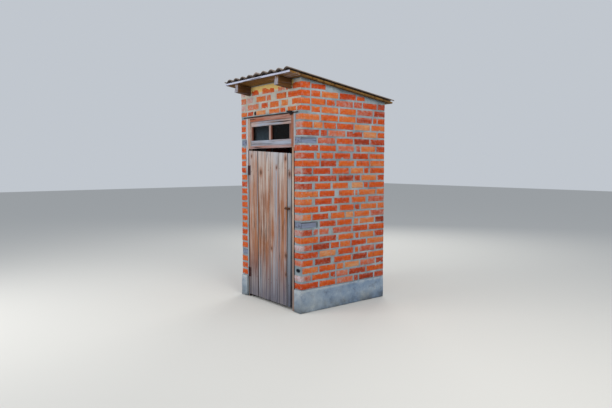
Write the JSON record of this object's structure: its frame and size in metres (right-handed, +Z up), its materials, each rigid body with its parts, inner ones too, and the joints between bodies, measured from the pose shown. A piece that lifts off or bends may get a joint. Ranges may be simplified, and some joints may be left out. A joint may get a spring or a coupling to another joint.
{
  "type": "brick outhouse",
  "caption": "Small brick outhouse with a boarded door, a glazed light above it and a lean-to roof of corrugated sheet.",
  "frame": {"origin": "on the ground, at the centre of the brickwork's plan", "axes": "+Z up, +Y from the door into the building, +X to the right of someone facing the door"},
  "size_m": [1.2652, 1.5745, 2.5952],
  "materials": {
    "brick": "weathered orange-red brick with thick pale grey joints",
    "concrete": "rough grey concrete, stained near the ground",
    "block_wood": "bare weathered wood, blue-grey and split",
    "frame_wood": "bare weathered wood, brown with bleached edges",
    "sash_wood": "bare weathered wood, bleached pale grey",
    "glass": "dusty old window glass",
    "roof_wood": "rough sawn wood, dark brown, grey on the eave edge",
    "fibre_cement": "weathered corrugated fibre cement with dark stains",
    "door_wood": "bare weathered planks, brown and grey, open grain",
    "rusty_steel": "bare steel, rusty all over"
  },
  "bodies": {
    "building": {"wall_left": "brick", "wall_right": "brick", "wall_back": "brick", "wall_over_door": "brick", "plinth_left": "concrete", "plinth_right": "concrete", "plinth_back": "concrete", "floor_slab": "concrete", "nog_left_lower": "block_wood", "nog_left_upper": "block_wood", "nog_right_lower": "block_wood", "nog_right_upper": "block_wood", "frame_post_left": "frame_wood", "frame_post_right": "frame_wood", "frame_head": "frame_wood", "frame_transom": "frame_wood", "sash_bottom_rail": "sash_wood", "sash_top_rail": "sash_wood", "sash_stile_left": "sash_wood", "sash_stile_right": "sash_wood", "sash_mullion": "sash_wood", "window_pane_left": "glass", "window_pane_right": "glass", "rafter_left": "roof_wood", "rafter_right": "roof_wood", "eave_board": "roof_wood", "roof_boards": "roof_wood", "roof_sheet_left": "fibre_cement", "roof_sheet_right": "fibre_cement", "lintel_angle": "rusty_steel", "lintel_bar_eye": "rusty_steel", "hinge_upper_fixed": "rusty_steel", "hinge_lower_fixed": "rusty_steel"},
    "door": {"door_plank_1": "door_wood", "door_plank_2": "door_wood", "door_plank_3": "door_wood", "door_plank_4": "door_wood", "door_plank_5": "door_wood", "door_ledge_lower": "door_wood", "door_ledge_upper": "door_wood", "door_brace": "door_wood", "hinge_upper_moving": "rusty_steel", "hinge_lower_moving": "rusty_steel", "door_hasp": "rusty_steel"}
  },
  "joints": [
    {"name": "door_hinge", "type": "hinge", "parent": "building", "child": "door", "pos_m": [-0.434, -0.63, 0.881], "axis": [0, 0, -1], "range_deg": [0, 150]}
  ]
}
